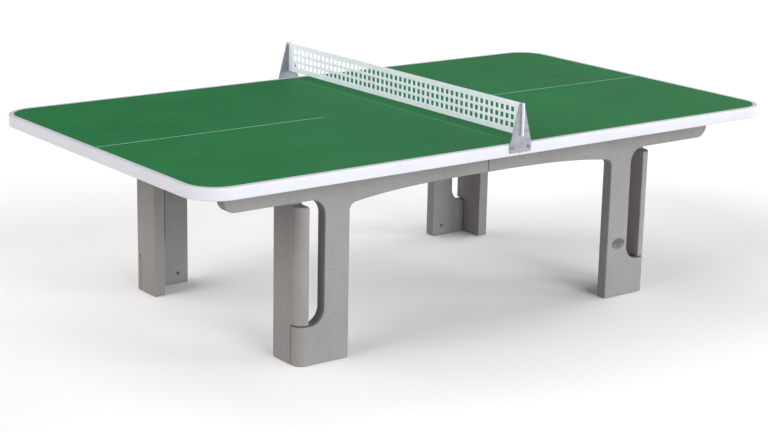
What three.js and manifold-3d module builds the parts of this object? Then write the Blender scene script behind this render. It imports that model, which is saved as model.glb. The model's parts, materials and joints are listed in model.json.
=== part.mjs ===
// Outdoor table tennis table: a polymer-concrete top in two halves on an
// interlocking concrete base, with a perforated steel net in slotted brackets.
// Millimetres, +Z up. The origin is on the floor under the middle of the table,
// +X runs along its length and +Y towards one long side, called the rear.

import * as THREE from 'three';
import { mergeVertices } from 'three/addons/utils/BufferGeometryUtils.js';
import Module from 'manifold-3d';

const wasm = await Module();
wasm.setup();

// ---------------------------------------------------------------- dimensions
const FIT_GAP = 0.3;              // clearance kept between pieces that meet
const CUTTER_PAST = 2;            // how far a cutter reaches past what it cuts
const WELD_DISTANCE = 1e-4;       // vertices closer than this are one vertex
const CURVE_SEGMENTS = 3;         // steps along a rounded corner of a small outline

const TABLE_LENGTH = 2740;
const TABLE_WIDTH = 1525;
const TABLE_HEIGHT = 760;
const TOP_THICKNESS = 45;
const CORNER_RADIUS = 130;
const CORNER_SEGMENTS = 5;
const RIM_WIDTH = 20;             // white border, also the wall of the edge band
const RIM_EDGE_BEVEL = 3;
const COATING_THICKNESS = 2;
const TOP_SEAM = 1.5;             // gap between the halves of the top
const LINE_WIDTH = 3;
const LINE_START = 350;           // distance from the net to the centre line

const PANEL_THICKNESS = 48;       // all the base's concrete panels
const PANEL_EDGE_BEVEL = 4;
const PANEL_SEAM = 1.5;           // gap between the halves of a side frame
const PAD_THICKNESS = 2;          // rubber between the base and the top
const SIDE_OUTER_Y = 590;
const END_OUTER_X = 868;
const CANTILEVER_END_X = 1180;
const CANTILEVER_CORNER_RADIUS = 50;
const BEAM_BOTTOM = 616;
const ARCH_CROWN = 615;
const ARCH_DROP = 33;             // fall of the arch from its crown to the leg
const ARCH_POWER = 3;
const ARCH_STEPS = 10;
const ARCH_FILLET = 30;
const LEG_INNER_X = 645;
const LEG_SLOT_X = 753;
const SLOT_CORNER_RADIUS = 60;
const FOOT_HEIGHT = 148;
const FOOT_CORNER_ROUND = 8;
const OUTER_CORNER_ROUND = 38;    // upright corner shared by the foot and the tab

const END_LEG_INNER_Y = 428;
const END_BEAM_BOTTOM = 613;
const END_ARCH_RADIUS = 60;
const TAB_BOTTOM = 153;
const TAB_TOP = 595;
const TAB_TOP_ROUND = 10;
const TAB_BOTTOM_ROUND = 6;
const NOTCH_ROUND = 5;
const NOTCH_GAP = 2;              // end panel to the side frame that it sits behind

const NET_THICKNESS = 3;
const NET_BOTTOM = 790;
const NET_TOP = 912.5;
const NET_OVERHANG = 12;          // net past the outer face of its bracket
const NET_CORNER_RADIUS = 3;
const NET_HOLE = 19;
const NET_PITCH = 29.75;
const NET_COLUMNS = 49;
const NET_ROWS = 3;

const BRACKET_THICKNESS = 6;
const BRACKET_BOTTOM = 727;
const BRACKET_SHOULDER = 762;
const BRACKET_TOP = 914;
const BRACKET_HALF_BASE = 50;
const BRACKET_HALF_TIP = 9;
const BRACKET_BASE_ROUND = 8;
const BRACKET_SHOULDER_ROUND = 20;
const BRACKET_TIP_ROUND = 2;
const BRACKET_SLOT_WIDTH = 5;
const LEAD_IN_WIDTH = 13;         // mouth of the slot, where the net drops in
const LEAD_IN_DEPTH = 10;
const BRACKET_BOLT_X = 37;
const BRACKET_BOLT_Z = 748;

const CORNER_BRACKET_WALL = 5;
const CORNER_BRACKET_REACH = 60;
const CORNER_BRACKET_BOTTOM = 635;
const CORNER_BOLT_OFFSET = 34;    // bolt axis to the faces of the corner it is in
const CORNER_BOLT_Z = 666;
const SPLICE_WALL = 6;
const SPLICE_HALF_LENGTH = 110;
const SPLICE_BOTTOM = 636;
const SPLICE_TOP = 694;
const SPLICE_ROUND = 8;
const SPLICE_BOLT_X = 70;
const STRIP_WIDTH = 32;           // rubber strip along the top of a side frame
const STRIP_START = 20;
const STRIP_END = 1160;
const INSERT_RADIUS = 7;
const INSERT_BORE = 4.3;
const INSERT_LENGTH = 40;
const INSERT_SIDES = 10;
const ANCHOR_LENGTH = 28;
const ANCHOR_RECESS = 1;          // sleeve's mouth below the face of the leg
const ANCHOR_X = 695;
const ANCHOR_Z = 44;
const DOWEL_RADIUS = 6;
const DOWEL_LENGTH = 100;
const DOWEL_Y = 450;
const DOWEL_Z = 737;
const DOWEL_SIDES = 10;

const BADGE_LENGTH = 66;
const BADGE_HEIGHT = 45;
const BADGE_THICKNESS = 1.6;
const BADGE_EDGE = 0.5;
const BADGE_SEGMENTS = 10;
const BADGE_X = 705;
const BADGE_Z = 227;

// sizes that follow from the ones above
const SIDE_INNER_Y = SIDE_OUTER_Y - PANEL_THICKNESS;
const END_INNER_X = END_OUTER_X - PANEL_THICKNESS;
const SLAB_BOTTOM = TABLE_HEIGHT - TOP_THICKNESS;
const SLAB_TOP = TABLE_HEIGHT - COATING_THICKNESS;
const BASE_TOP = SLAB_BOTTOM - PAD_THICKNESS;
const BRACKET_INNER_Y = TABLE_WIDTH / 2 + FIT_GAP;
const BRACKET_OUTER_Y = BRACKET_INNER_Y + BRACKET_THICKNESS;
const INSERT_OUTER_Y = TABLE_WIDTH / 2 - RIM_WIDTH - FIT_GAP;

const HEAD_CROWN_RATIO = 0.8;     // radius of a bolt head's flat crown to its full radius
const HEAD_SHOULDER_RATIO = 0.6;  // height of its shoulder to its full height
const BOLT = { radius: 5, headRadius: 9, headHeight: 6, length: 38, sides: 8 };
const BRACKET_BOLT = { radius: 4, headRadius: 8, headHeight: 5, length: 58, sides: 12 };

const QUADRANTS = { front_left: [-1, -1], front_right: [1, -1], rear_left: [-1, 1], rear_right: [1, 1] };
const SIDES = { front: -1, rear: 1 };
const ENDS = { left: -1, right: 1 };
const X_AXIS = [1, 0, 0];
const Y_AXIS = [0, 1, 0];
const Z_AXIS = [0, 0, 1];

// ---------------------------------------------------------------- materials
const finish = (color, roughness, metalness = 0) => (
  new THREE.MeshStandardMaterial({ color, roughness, metalness })
);
const CONCRETE = finish(0x9c9a97, 0.85);
const SLAB_CONCRETE = finish(0xa3a29e, 0.8);
const GREEN_COATING = finish(0x35764c, 0.55);
const WHITE_EDGE = finish(0xe9e9f0, 0.5);
const LINE_PAINT = finish(0xcfe0cf, 0.5);
const NET_STEEL = finish(0xd4d8da, 0.45, 0.6);
const GALVANISED_STEEL = finish(0x9a9ca4, 0.5, 0.8);
const DARK_STEEL = finish(0x5a5b60, 0.45, 0.8);
const RUBBER = finish(0x232324, 0.9);
const BADGE_METAL = finish(0x8f94a0, 0.35, 0.8);

// ---------------------------------------------------------------- shape tools
/** Closed outline through corners [x, y, radius], each rounded by its radius. */
function roundedShape(corners) {
  const shape = new THREE.Shape();
  const at = (i) => new THREE.Vector2(...corners[(i + corners.length) % corners.length]);
  corners.forEach(([, , radius = 0], i) => {
    const corner = at(i);
    const back = at(i - 1).sub(corner).normalize();
    const ahead = at(i + 1).sub(corner).normalize();
    const halfAngle = Math.acos(THREE.MathUtils.clamp(back.dot(ahead), -1, 1)) / 2;
    const reach = radius / Math.tan(halfAngle);
    const start = corner.clone().addScaledVector(back, reach);
    if (i === 0) shape.moveTo(start.x, start.y);
    else shape.lineTo(start.x, start.y);
    if (radius === 0) return;
    const end = corner.clone().addScaledVector(ahead, reach);
    const toCentre = back.clone().add(ahead).normalize();
    const centre = corner.clone().addScaledVector(toCentre, radius / Math.sin(halfAngle));
    const angleOf = (point) => Math.atan2(point.y - centre.y, point.x - centre.x);
    shape.absarc(centre.x, centre.y, radius, angleOf(start), angleOf(end), back.cross(ahead) > 0);
  });
  return shape;
}

function rectangle(x0, y0, x1, y1, radius = 0) {
  return roundedShape([[x0, y0, radius], [x1, y0, radius], [x1, y1, radius], [x0, y1, radius]]);
}

/** A shape in the XY plane, extruded from z = low to z = high, with its edges bevelled. */
function extruded(shape, low, high, edge = 0, curveSegments = CURVE_SEGMENTS) {
  const geometry = new THREE.ExtrudeGeometry(shape, {
    depth: high - low - 2 * edge,
    curveSegments,
    bevelEnabled: edge > 0,
    bevelSize: edge,
    bevelThickness: edge,
    bevelOffset: -edge,
    bevelSegments: 1,
  });
  return geometry.translate(0, 0, low + edge);
}

/** A shape drawn in (x, z), extruded along Y from y = low to y = high. */
function extrudedAlongY(shape, low, high, edge, curveSegments) {
  return extruded(shape, -high, -low, edge, curveSegments).rotateX(Math.PI / 2);
}

/** A shape drawn in (y, z), extruded along X from x = low to x = high. */
function extrudedAlongX(shape, low, high, edge, curveSegments) {
  const turn = new THREE.Matrix4().makeBasis(
    new THREE.Vector3(...Y_AXIS),
    new THREE.Vector3(...Z_AXIS),
    new THREE.Vector3(...X_AXIS),
  );
  return extruded(shape, low, high, edge, curveSegments).applyMatrix4(turn);
}

function block(low, high) {
  const size = high.map((value, i) => value - low[i]);
  const middle = high.map((value, i) => (value + low[i]) / 2);
  return new THREE.BoxGeometry(...size).translate(...middle);
}

/** Turns a geometry built along +Y so that it runs along the given direction. */
function pointed(geometry, direction, point) {
  const turn = new THREE.Quaternion().setFromUnitVectors(
    new THREE.Vector3(...Y_AXIS),
    new THREE.Vector3(...direction),
  );
  return geometry.applyQuaternion(turn).translate(...point);
}

/** A copy mirrored across the X = 0 and Y = 0 planes where the signs are -1. */
function mirrored(geometry, signX, signY) {
  const indexed = geometry.index ? geometry.clone() : mergeVertices(geometry);
  const copy = indexed.scale(signX, signY, 1);
  if (signX * signY > 0) return copy;
  const index = copy.index.array;
  for (let i = 0; i < index.length; i += 3) {
    [index[i], index[i + 1]] = [index[i + 1], index[i]];
  }
  return copy;
}

// ---------------------------------------------------------------- solid tools
function toSolid(geometry) {
  const bare = geometry.clone();
  bare.deleteAttribute('normal');
  bare.deleteAttribute('uv');
  const merged = mergeVertices(bare, WELD_DISTANCE);
  return new wasm.Manifold(new wasm.Mesh({
    numProp: 3,
    vertProperties: merged.attributes.position.array,
    triVerts: Uint32Array.from(merged.index.array),
  }));
}

function toGeometry(solid) {
  const mesh = solid.getMesh();
  const geometry = new THREE.BufferGeometry();
  geometry.setAttribute('position', new THREE.BufferAttribute(mesh.vertProperties, 3));
  geometry.setIndex(new THREE.BufferAttribute(mesh.triVerts, 1));
  return geometry;
}

function cut(geometry, cutters) {
  let solid = toSolid(geometry);
  for (const cutter of cutters) solid = solid.subtract(toSolid(cutter));
  return toGeometry(solid);
}

function common(first, second) {
  return toGeometry(toSolid(first).intersect(toSolid(second)));
}

// ---------------------------------------------------------------- fasteners
/** Head below the point, shank from the point along the direction. */
function fastener(kind, { point, direction }) {
  const { radius, headRadius, headHeight, length, sides } = kind;
  const profile = [
    [0, -headHeight],
    [headRadius * HEAD_CROWN_RATIO, -headHeight],
    [headRadius, -headHeight * HEAD_SHOULDER_RATIO],
    [headRadius, 0],
    [radius, 0],
    [radius, length],
    [0, length],
  ].map(([r, y]) => new THREE.Vector2(r, y));
  return pointed(new THREE.LatheGeometry(profile, sides), direction, point);
}

/** Round bar that starts at the point and runs along the direction. */
function rod({ point, direction }, radius, length, sides) {
  const cylinder = new THREE.CylinderGeometry(radius, radius, length, sides);
  return pointed(cylinder.translate(0, length / 2, 0), direction, point);
}

/** Cutter for a round piece: a little wider than it, and past it at both ends. */
function roundHole({ point, direction }, radius, length, sides) {
  const start = point.map((value, i) => value - direction[i] * CUTTER_PAST);
  return rod({ point: start, direction }, radius + FIT_GAP, length + 2 * CUTTER_PAST, sides);
}

function fastenerHole(kind, place) {
  return roundHole(place, kind.radius, kind.length, kind.sides);
}

/** Threaded sleeve whose mouth is at the point and which runs along the direction. */
function sleeve({ point, direction }, length) {
  const profile = [
    [INSERT_BORE, 0],
    [INSERT_RADIUS, 0],
    [INSERT_RADIUS, length],
    [INSERT_BORE, length],
    [INSERT_BORE, 0],
  ].map(([r, y]) => new THREE.Vector2(r, y));
  return pointed(new THREE.LatheGeometry(profile, INSERT_SIDES), direction, point);
}

// places of the fasteners in the +X +Y quadrant; each is repeated in all four
const BRACKET_BOLT_PLACE = {
  point: [BRACKET_BOLT_X, BRACKET_OUTER_Y + FIT_GAP, BRACKET_BOLT_Z],
  direction: [0, -1, 0],
};
const INSERT_PLACE = {
  point: [BRACKET_BOLT_X, INSERT_OUTER_Y, BRACKET_BOLT_Z],
  direction: [0, -1, 0],
};
const DOWEL_PLACE = { point: [-DOWEL_LENGTH / 2, DOWEL_Y, DOWEL_Z], direction: X_AXIS };
const ANCHOR_PLACE = { point: [ANCHOR_X, SIDE_INNER_Y + ANCHOR_RECESS, ANCHOR_Z], direction: Y_AXIS };
const SPLICE_BOLT_PLACE = {
  point: [SPLICE_BOLT_X, SIDE_INNER_Y - SPLICE_WALL - 2 * FIT_GAP, (SPLICE_BOTTOM + SPLICE_TOP) / 2],
  direction: Y_AXIS,
};
const CORNER_INSET = CORNER_BRACKET_WALL + 2 * FIT_GAP;
const CORNER_SIDE_PLACE = {
  point: [END_INNER_X - CORNER_BOLT_OFFSET, SIDE_INNER_Y - CORNER_INSET, CORNER_BOLT_Z],
  direction: Y_AXIS,
};
const CORNER_END_PLACE = {
  point: [END_INNER_X - CORNER_INSET, SIDE_INNER_Y - CORNER_BOLT_OFFSET, CORNER_BOLT_Z],
  direction: X_AXIS,
};
const CORNER_SLAB_PLACE = {
  point: [
    END_INNER_X - CORNER_BOLT_OFFSET,
    SIDE_INNER_Y - CORNER_BOLT_OFFSET,
    SLAB_BOTTOM - CORNER_INSET,
  ],
  direction: Z_AXIS,
};

// ---------------------------------------------------------------- tabletop
function topOutline(inset) {
  const x = TABLE_LENGTH / 2 - inset;
  const y = TABLE_WIDTH / 2 - inset;
  return rectangle(-x, -y, x, y, CORNER_RADIUS - inset);
}

function topPlate(inset, low, high, edge = 0) {
  return extruded(topOutline(inset), low, high, edge, CORNER_SEGMENTS);
}

function rightHalf(geometry) {
  const past = TABLE_LENGTH;
  return common(geometry, block([TOP_SEAM / 2, -past, 0], [past, past, past]));
}

/** The cutters given and their mirror images on the front side. */
function onBothSides(cutters) {
  return [...cutters, ...cutters.map((cutter) => mirrored(cutter, 1, -1))];
}

/** White band around the edge of the top. */
function edgeRim() {
  const band = topPlate(0, SLAB_BOTTOM, TABLE_HEIGHT, RIM_EDGE_BEVEL);
  const core = topPlate(RIM_WIDTH, 0, TABLE_LENGTH);
  const holes = onBothSides([fastenerHole(BRACKET_BOLT, BRACKET_BOLT_PLACE)]);
  return cut(rightHalf(band), [core, ...holes]);
}

function slab() {
  const body = rightHalf(topPlate(RIM_WIDTH + FIT_GAP, SLAB_BOTTOM, SLAB_TOP));
  return cut(body, onBothSides([
    roundHole(INSERT_PLACE, INSERT_RADIUS, INSERT_LENGTH, INSERT_SIDES),
    roundHole(DOWEL_PLACE, DOWEL_RADIUS, DOWEL_LENGTH, DOWEL_SIDES),
    fastenerHole(BOLT, CORNER_SLAB_PLACE),
  ]));
}

function playingSurface() {
  const sheet = rightHalf(topPlate(RIM_WIDTH + FIT_GAP, SLAB_TOP, TABLE_HEIGHT));
  const halfGroove = LINE_WIDTH / 2 + FIT_GAP;
  const groove = block(
    [LINE_START - FIT_GAP, -halfGroove, SLAB_TOP - CUTTER_PAST],
    [TABLE_LENGTH / 2, halfGroove, TABLE_HEIGHT + CUTTER_PAST],
  );
  return cut(sheet, [groove]);
}

function centreLine() {
  const end = TABLE_LENGTH / 2 - RIM_WIDTH - FIT_GAP;
  return block([LINE_START, -LINE_WIDTH / 2, SLAB_TOP], [end, LINE_WIDTH / 2, TABLE_HEIGHT]);
}

/** Pin across the seam that keeps the two halves of the top level. */
function slabDowel() {
  return rod(DOWEL_PLACE, DOWEL_RADIUS, DOWEL_LENGTH, DOWEL_SIDES);
}

// ---------------------------------------------------------------- base
const archHeight = (x) => ARCH_CROWN - ARCH_DROP * (x / LEG_INNER_X) ** ARCH_POWER;

/** Side view of half a side frame: cantilever, beam, leg, slot and foot. */
function sideFrameShape() {
  const seam = PANEL_SEAM / 2;
  const arch = [];
  for (let step = ARCH_STEPS - 1; step > 0; step -= 1) {
    const x = LEG_INNER_X * step / ARCH_STEPS;
    arch.push([x, archHeight(x)]);
  }
  return roundedShape([
    [seam, BASE_TOP],
    [CANTILEVER_END_X, BASE_TOP],
    [CANTILEVER_END_X, BEAM_BOTTOM, CANTILEVER_CORNER_RADIUS],
    [LEG_SLOT_X, BEAM_BOTTOM, SLOT_CORNER_RADIUS],
    [LEG_SLOT_X, FOOT_HEIGHT, SLOT_CORNER_RADIUS],
    [END_OUTER_X, FOOT_HEIGHT, FOOT_CORNER_ROUND],
    [END_OUTER_X, 0, FOOT_CORNER_ROUND],
    [LEG_INNER_X, 0, FOOT_CORNER_ROUND],
    [LEG_INNER_X, archHeight(LEG_INNER_X), ARCH_FILLET],
    ...arch,
    [seam, ARCH_CROWN],
  ]);
}

/** Cutter that rounds the upright outer corner of the base between two heights. */
function outerCornerCutter(low, high) {
  const centreX = END_OUTER_X - OUTER_CORNER_ROUND;
  const centreY = SIDE_OUTER_Y - OUTER_CORNER_ROUND;
  const shape = new THREE.Shape();
  shape.moveTo(centreX, SIDE_OUTER_Y + CUTTER_PAST);
  shape.lineTo(END_OUTER_X + CUTTER_PAST, SIDE_OUTER_Y + CUTTER_PAST);
  shape.lineTo(END_OUTER_X + CUTTER_PAST, centreY);
  shape.absarc(centreX, centreY, OUTER_CORNER_ROUND, 0, Math.PI / 2, false);
  return extruded(shape, low, high);
}

function sideFrame() {
  const panel = extrudedAlongY(sideFrameShape(), SIDE_INNER_Y, SIDE_OUTER_Y, PANEL_EDGE_BEVEL);
  return cut(panel, [
    outerCornerCutter(-CUTTER_PAST, FOOT_HEIGHT + CUTTER_PAST),
    roundHole(ANCHOR_PLACE, INSERT_RADIUS, ANCHOR_LENGTH, INSERT_SIDES),
    fastenerHole(BOLT, SPLICE_BOLT_PLACE),
    fastenerHole(BOLT, CORNER_SIDE_PLACE),
  ]);
}

/** Portal seen from the end: two tabbed legs under a cross beam. */
function endFrameShape() {
  const notchY = SIDE_INNER_Y - NOTCH_GAP;
  const rearHalf = [
    [notchY, BASE_TOP],
    [notchY, TAB_TOP, NOTCH_ROUND],
    [SIDE_OUTER_Y, TAB_TOP, TAB_TOP_ROUND],
    [SIDE_OUTER_Y, TAB_BOTTOM, TAB_BOTTOM_ROUND],
    [notchY, TAB_BOTTOM, NOTCH_ROUND],
    [notchY, 0, FOOT_CORNER_ROUND],
    [END_LEG_INNER_Y, 0, FOOT_CORNER_ROUND],
    [END_LEG_INNER_Y, END_BEAM_BOTTOM, END_ARCH_RADIUS],
  ];
  const frontHalf = rearHalf.map(([y, z, radius]) => [-y, z, radius]).reverse();
  return roundedShape([...rearHalf, ...frontHalf]);
}

function endFrame() {
  const panel = extrudedAlongX(endFrameShape(), END_INNER_X, END_OUTER_X, PANEL_EDGE_BEVEL);
  return cut(panel, onBothSides([
    outerCornerCutter(TAB_BOTTOM - CUTTER_PAST, TAB_TOP + CUTTER_PAST),
    fastenerHole(BOLT, CORNER_END_PLACE),
  ]));
}

// ---------------------------------------------------------------- joints of the base
/** Steel corner that ties a side frame, an end frame and the top together. */
function cornerBracket() {
  const x = END_INNER_X - FIT_GAP;
  const y = SIDE_INNER_Y - FIT_GAP;
  const top = SLAB_BOTTOM - FIT_GAP;
  const corner = block(
    [x - CORNER_BRACKET_REACH, y - CORNER_BRACKET_REACH, CORNER_BRACKET_BOTTOM],
    [x, y, top],
  );
  const hollow = block(
    [0, 0, 0],
    [x - CORNER_BRACKET_WALL, y - CORNER_BRACKET_WALL, top - CORNER_BRACKET_WALL],
  );
  return cut(corner, [
    hollow,
    fastenerHole(BOLT, CORNER_SIDE_PLACE),
    fastenerHole(BOLT, CORNER_END_PLACE),
    fastenerHole(BOLT, CORNER_SLAB_PLACE),
  ]);
}

/** Steel strap that joins the two halves of a side frame under the net. */
function splicePlate() {
  const outerY = SIDE_INNER_Y - FIT_GAP;
  const plate = extrudedAlongY(
    rectangle(-SPLICE_HALF_LENGTH, SPLICE_BOTTOM, SPLICE_HALF_LENGTH, SPLICE_TOP, SPLICE_ROUND),
    outerY - SPLICE_WALL,
    outerY,
  );
  const hole = fastenerHole(BOLT, SPLICE_BOLT_PLACE);
  return cut(plate, [hole, mirrored(hole, -1, 1)]);
}

/** Rubber strip between the top and one half of a side frame. */
function bearingStrip() {
  const middle = (SIDE_INNER_Y + SIDE_OUTER_Y) / 2;
  return block(
    [STRIP_START, middle - STRIP_WIDTH / 2, BASE_TOP],
    [STRIP_END, middle + STRIP_WIDTH / 2, SLAB_BOTTOM],
  );
}

// ---------------------------------------------------------------- net
function netPlate() {
  const end = BRACKET_OUTER_Y + NET_OVERHANG;
  const shape = rectangle(-end, NET_BOTTOM + FIT_GAP, end, NET_TOP, NET_CORNER_RADIUS);
  const plate = extrudedAlongX(shape, -NET_THICKNESS / 2, NET_THICKNESS / 2);
  const middle = (NET_BOTTOM + NET_TOP) / 2;
  const half = NET_HOLE / 2;
  const holes = [];
  for (let column = 0; column < NET_COLUMNS; column += 1) {
    for (let row = 0; row < NET_ROWS; row += 1) {
      const y = (column - (NET_COLUMNS - 1) / 2) * NET_PITCH;
      const z = middle + (row - (NET_ROWS - 1) / 2) * NET_PITCH;
      holes.push(block(
        [-NET_THICKNESS, y - half, z - half],
        [NET_THICKNESS, y + half, z + half],
      ));
    }
  }
  return cut(plate, holes);
}

/** Tapered plate on the rear edge of the top, with an open-topped slot for the net. */
function netBracket() {
  const rightHalfOutline = [
    [BRACKET_HALF_BASE, BRACKET_BOTTOM, BRACKET_BASE_ROUND],
    [BRACKET_HALF_BASE, BRACKET_SHOULDER, BRACKET_SHOULDER_ROUND],
    [BRACKET_HALF_TIP, BRACKET_TOP, BRACKET_TIP_ROUND],
    [LEAD_IN_WIDTH / 2, BRACKET_TOP],
    [BRACKET_SLOT_WIDTH / 2, BRACKET_TOP - LEAD_IN_DEPTH],
    [BRACKET_SLOT_WIDTH / 2, NET_BOTTOM],
  ];
  const leftHalfOutline = rightHalfOutline.map(([x, z, radius]) => [-x, z, radius]).reverse();
  const plate = extrudedAlongY(
    roundedShape([...rightHalfOutline, ...leftHalfOutline]),
    BRACKET_INNER_Y,
    BRACKET_OUTER_Y,
  );
  const hole = fastenerHole(BRACKET_BOLT, BRACKET_BOLT_PLACE);
  return cut(plate, [hole, mirrored(hole, -1, 1)]);
}

/** Blank oval plate on the outer face of one front leg. */
function badge() {
  const shape = new THREE.Shape();
  shape.absellipse(BADGE_X, BADGE_Z, BADGE_LENGTH / 2, BADGE_HEIGHT / 2, 0, 2 * Math.PI, false, 0);
  const outer = -SIDE_OUTER_Y - FIT_GAP - BADGE_THICKNESS;
  return extrudedAlongY(shape, outer, outer + BADGE_THICKNESS, BADGE_EDGE, BADGE_SEGMENTS);
}

// ---------------------------------------------------------------- assembly
const table = new THREE.Group();

function add(name, geometry, material) {
  const mesh = new THREE.Mesh(geometry, material);
  mesh.name = name;
  table.add(mesh);
}

const inBothHalves = {
  slab: [slab(), SLAB_CONCRETE],
  playing_surface: [playingSurface(), GREEN_COATING],
  edge_rim: [edgeRim(), WHITE_EDGE],
  centre_line: [centreLine(), LINE_PAINT],
  end_frame: [endFrame(), CONCRETE],
};
for (const [name, [geometry, material]] of Object.entries(inBothHalves)) {
  for (const [end, sign] of Object.entries(ENDS)) {
    add(`${name}_${end}`, mirrored(geometry, sign, 1), material);
  }
}

const inEachQuadrant = {
  side_frame: [sideFrame(), CONCRETE],
  bearing_strip: [bearingStrip(), RUBBER],
  corner_bracket: [cornerBracket(), GALVANISED_STEEL],
  corner_side_bolt: [fastener(BOLT, CORNER_SIDE_PLACE), DARK_STEEL],
  corner_end_bolt: [fastener(BOLT, CORNER_END_PLACE), DARK_STEEL],
  corner_slab_bolt: [fastener(BOLT, CORNER_SLAB_PLACE), DARK_STEEL],
  splice_bolt: [fastener(BOLT, SPLICE_BOLT_PLACE), DARK_STEEL],
  anchor_insert: [sleeve(ANCHOR_PLACE, ANCHOR_LENGTH), GALVANISED_STEEL],
  net_bracket_bolt: [fastener(BRACKET_BOLT, BRACKET_BOLT_PLACE), DARK_STEEL],
  net_bracket_insert: [sleeve(INSERT_PLACE, INSERT_LENGTH), GALVANISED_STEEL],
};
for (const [name, [geometry, material]] of Object.entries(inEachQuadrant)) {
  for (const [quadrant, signs] of Object.entries(QUADRANTS)) {
    add(`${name}_${quadrant}`, mirrored(geometry, ...signs), material);
  }
}

const onEachSide = {
  splice_plate: [splicePlate(), GALVANISED_STEEL],
  net_bracket: [netBracket(), GALVANISED_STEEL],
  slab_dowel: [slabDowel(), GALVANISED_STEEL],
};
for (const [name, [geometry, material]] of Object.entries(onEachSide)) {
  for (const [side, sign] of Object.entries(SIDES)) {
    add(`${name}_${side}`, mirrored(geometry, 1, sign), material);
  }
}

add('net_plate', netPlate(), NET_STEEL);
add('badge', badge(), BADGE_METAL);

export default table;
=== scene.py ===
"""Looks of an outdoor concrete table tennis table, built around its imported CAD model.

Metres, +Z up, in the model's frame: the origin is on the floor under the middle of the
table, +X runs along its length and +Y towards the rear long side.
"""

import json
import math

import bmesh
import bpy
from mathutils import Matrix, Vector


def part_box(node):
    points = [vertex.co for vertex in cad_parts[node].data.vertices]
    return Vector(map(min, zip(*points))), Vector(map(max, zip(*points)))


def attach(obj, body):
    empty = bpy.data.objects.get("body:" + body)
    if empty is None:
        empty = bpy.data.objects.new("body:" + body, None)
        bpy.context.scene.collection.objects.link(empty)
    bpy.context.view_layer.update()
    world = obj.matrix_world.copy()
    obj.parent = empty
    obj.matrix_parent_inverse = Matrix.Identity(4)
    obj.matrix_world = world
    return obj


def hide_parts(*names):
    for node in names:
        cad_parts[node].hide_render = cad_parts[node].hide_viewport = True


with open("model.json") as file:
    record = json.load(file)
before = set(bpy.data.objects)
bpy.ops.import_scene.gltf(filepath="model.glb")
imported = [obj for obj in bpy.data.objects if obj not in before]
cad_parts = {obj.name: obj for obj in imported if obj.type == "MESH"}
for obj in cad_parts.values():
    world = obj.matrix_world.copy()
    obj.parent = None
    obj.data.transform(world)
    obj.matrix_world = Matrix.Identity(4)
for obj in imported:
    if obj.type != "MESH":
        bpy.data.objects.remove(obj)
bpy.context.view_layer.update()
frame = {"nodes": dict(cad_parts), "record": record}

# ---------------------------------------------------------------- places
QUADRANTS = {
    "front_left": (-1, -1),
    "front_right": (1, -1),
    "rear_left": (-1, 1),
    "rear_right": (1, 1),
}
ENDS = {"left": (-1, 1), "right": (1, 1)}
SIDES = {"front": (1, -1), "rear": (1, 1)}

# ---------------------------------------------------------------- sizes
# A repeated piece is drawn in its rear or right place, then mirrored to the other ones.
RIM_LOW, RIM_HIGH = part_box("edge_rim_right")
SURFACE_LOW, SURFACE_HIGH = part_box("playing_surface_right")
LINE_LOW, LINE_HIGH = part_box("centre_line_right")
SIDE_LOW, SIDE_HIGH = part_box("side_frame_rear_right")
END_LOW, END_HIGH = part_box("end_frame_right")
NET_LOW, NET_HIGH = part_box("net_plate")
BRACKET_LOW, BRACKET_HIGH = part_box("net_bracket_rear")
SPLICE_LOW, SPLICE_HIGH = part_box("splice_plate_rear")
CORNER_LOW, CORNER_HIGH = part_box("corner_bracket_rear_right")
ANCHOR_LOW, ANCHOR_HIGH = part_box("anchor_insert_rear_right")
BADGE_LOW, BADGE_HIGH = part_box("badge")

FIT_GAP = 0.0003                 # clearance between pieces that meet
CUTTER_PAST = 0.002              # how far a cutter reaches past what it cuts
ALMOST_ALL = 0.999
BEVEL_ANGLE = math.radians(35)   # edges sharper than this are rounded, or shaded as edges

# tabletop
CORNER_RADIUS = 0.130
CORNER_STEPS = 16
RIM_WIDTH = 0.020
RIM_EDGE_ROUND = 0.004
RIM_EDGE_STEPS = 5
SEAM_GAP = 0.0006                # between the coatings of the two halves
SEAM_WEAR_AND_HIGHLIGHT_WIDTH = 0.005          # paler edge of each coating along the seam: worn paint and a painted highlight

# side frames
PANEL_EDGE_ROUND = 0.004
PANEL_STEPS = 12
CANTILEVER_CORNER_RADIUS = 0.050
BEAM_BOTTOM = 0.616
ARCH_CROWN = 0.615
ARCH_DROP = 0.033                # fall of the arch from its crown to the leg
ARCH_POWER = 3
ARCH_STEPS = 24
ARCH_FILLET = 0.030
LEG_INNER_X = 0.645
LEG_SLOT_X = 0.753
SLOT_CORNER_RADIUS = 0.060
FOOT_HEIGHT = 0.148
FOOT_CORNER_ROUND = 0.008
OUTER_CORNER_ROUND = 0.038       # upright corner shared by the foot and the tab
OUTER_CORNER_STEPS = 14

# end frames
END_LEG_INNER_Y = 0.428
END_BEAM_BOTTOM = 0.613
END_ARCH_RADIUS = 0.060
TAB_BOTTOM = 0.153
TAB_TOP = 0.595
TAB_TOP_ROUND = 0.010
TAB_BOTTOM_ROUND = 0.006
NOTCH_ROUND = 0.005
NOTCH_GAP = 0.002                # end panel to the side frame that it sits behind

# net
NET_HOLE = 0.019
NET_HOLE_ROUND = 0.0018
NET_HOLE_STEPS = 3
NET_PITCH = 0.02975
NET_COLUMNS = 49
NET_ROWS = 3
NET_EDGE_ROUND = 0.0004

# brackets and plates
BRACKET_SHOULDER = 0.762
BRACKET_HALF_TIP = 0.009
BRACKET_BASE_ROUND = 0.008
BRACKET_SHOULDER_ROUND = 0.020
BRACKET_TIP_ROUND = 0.002
BRACKET_SLOT_WIDTH = 0.005
LEAD_IN_WIDTH = 0.013            # mouth of the slot, where the net drops in
LEAD_IN_DEPTH = 0.010
PLATE_EDGE_ROUND = 0.0008
PLATE_STEPS = 6
CORNER_WALL = 0.005
SPLICE_ROUND = 0.008

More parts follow.
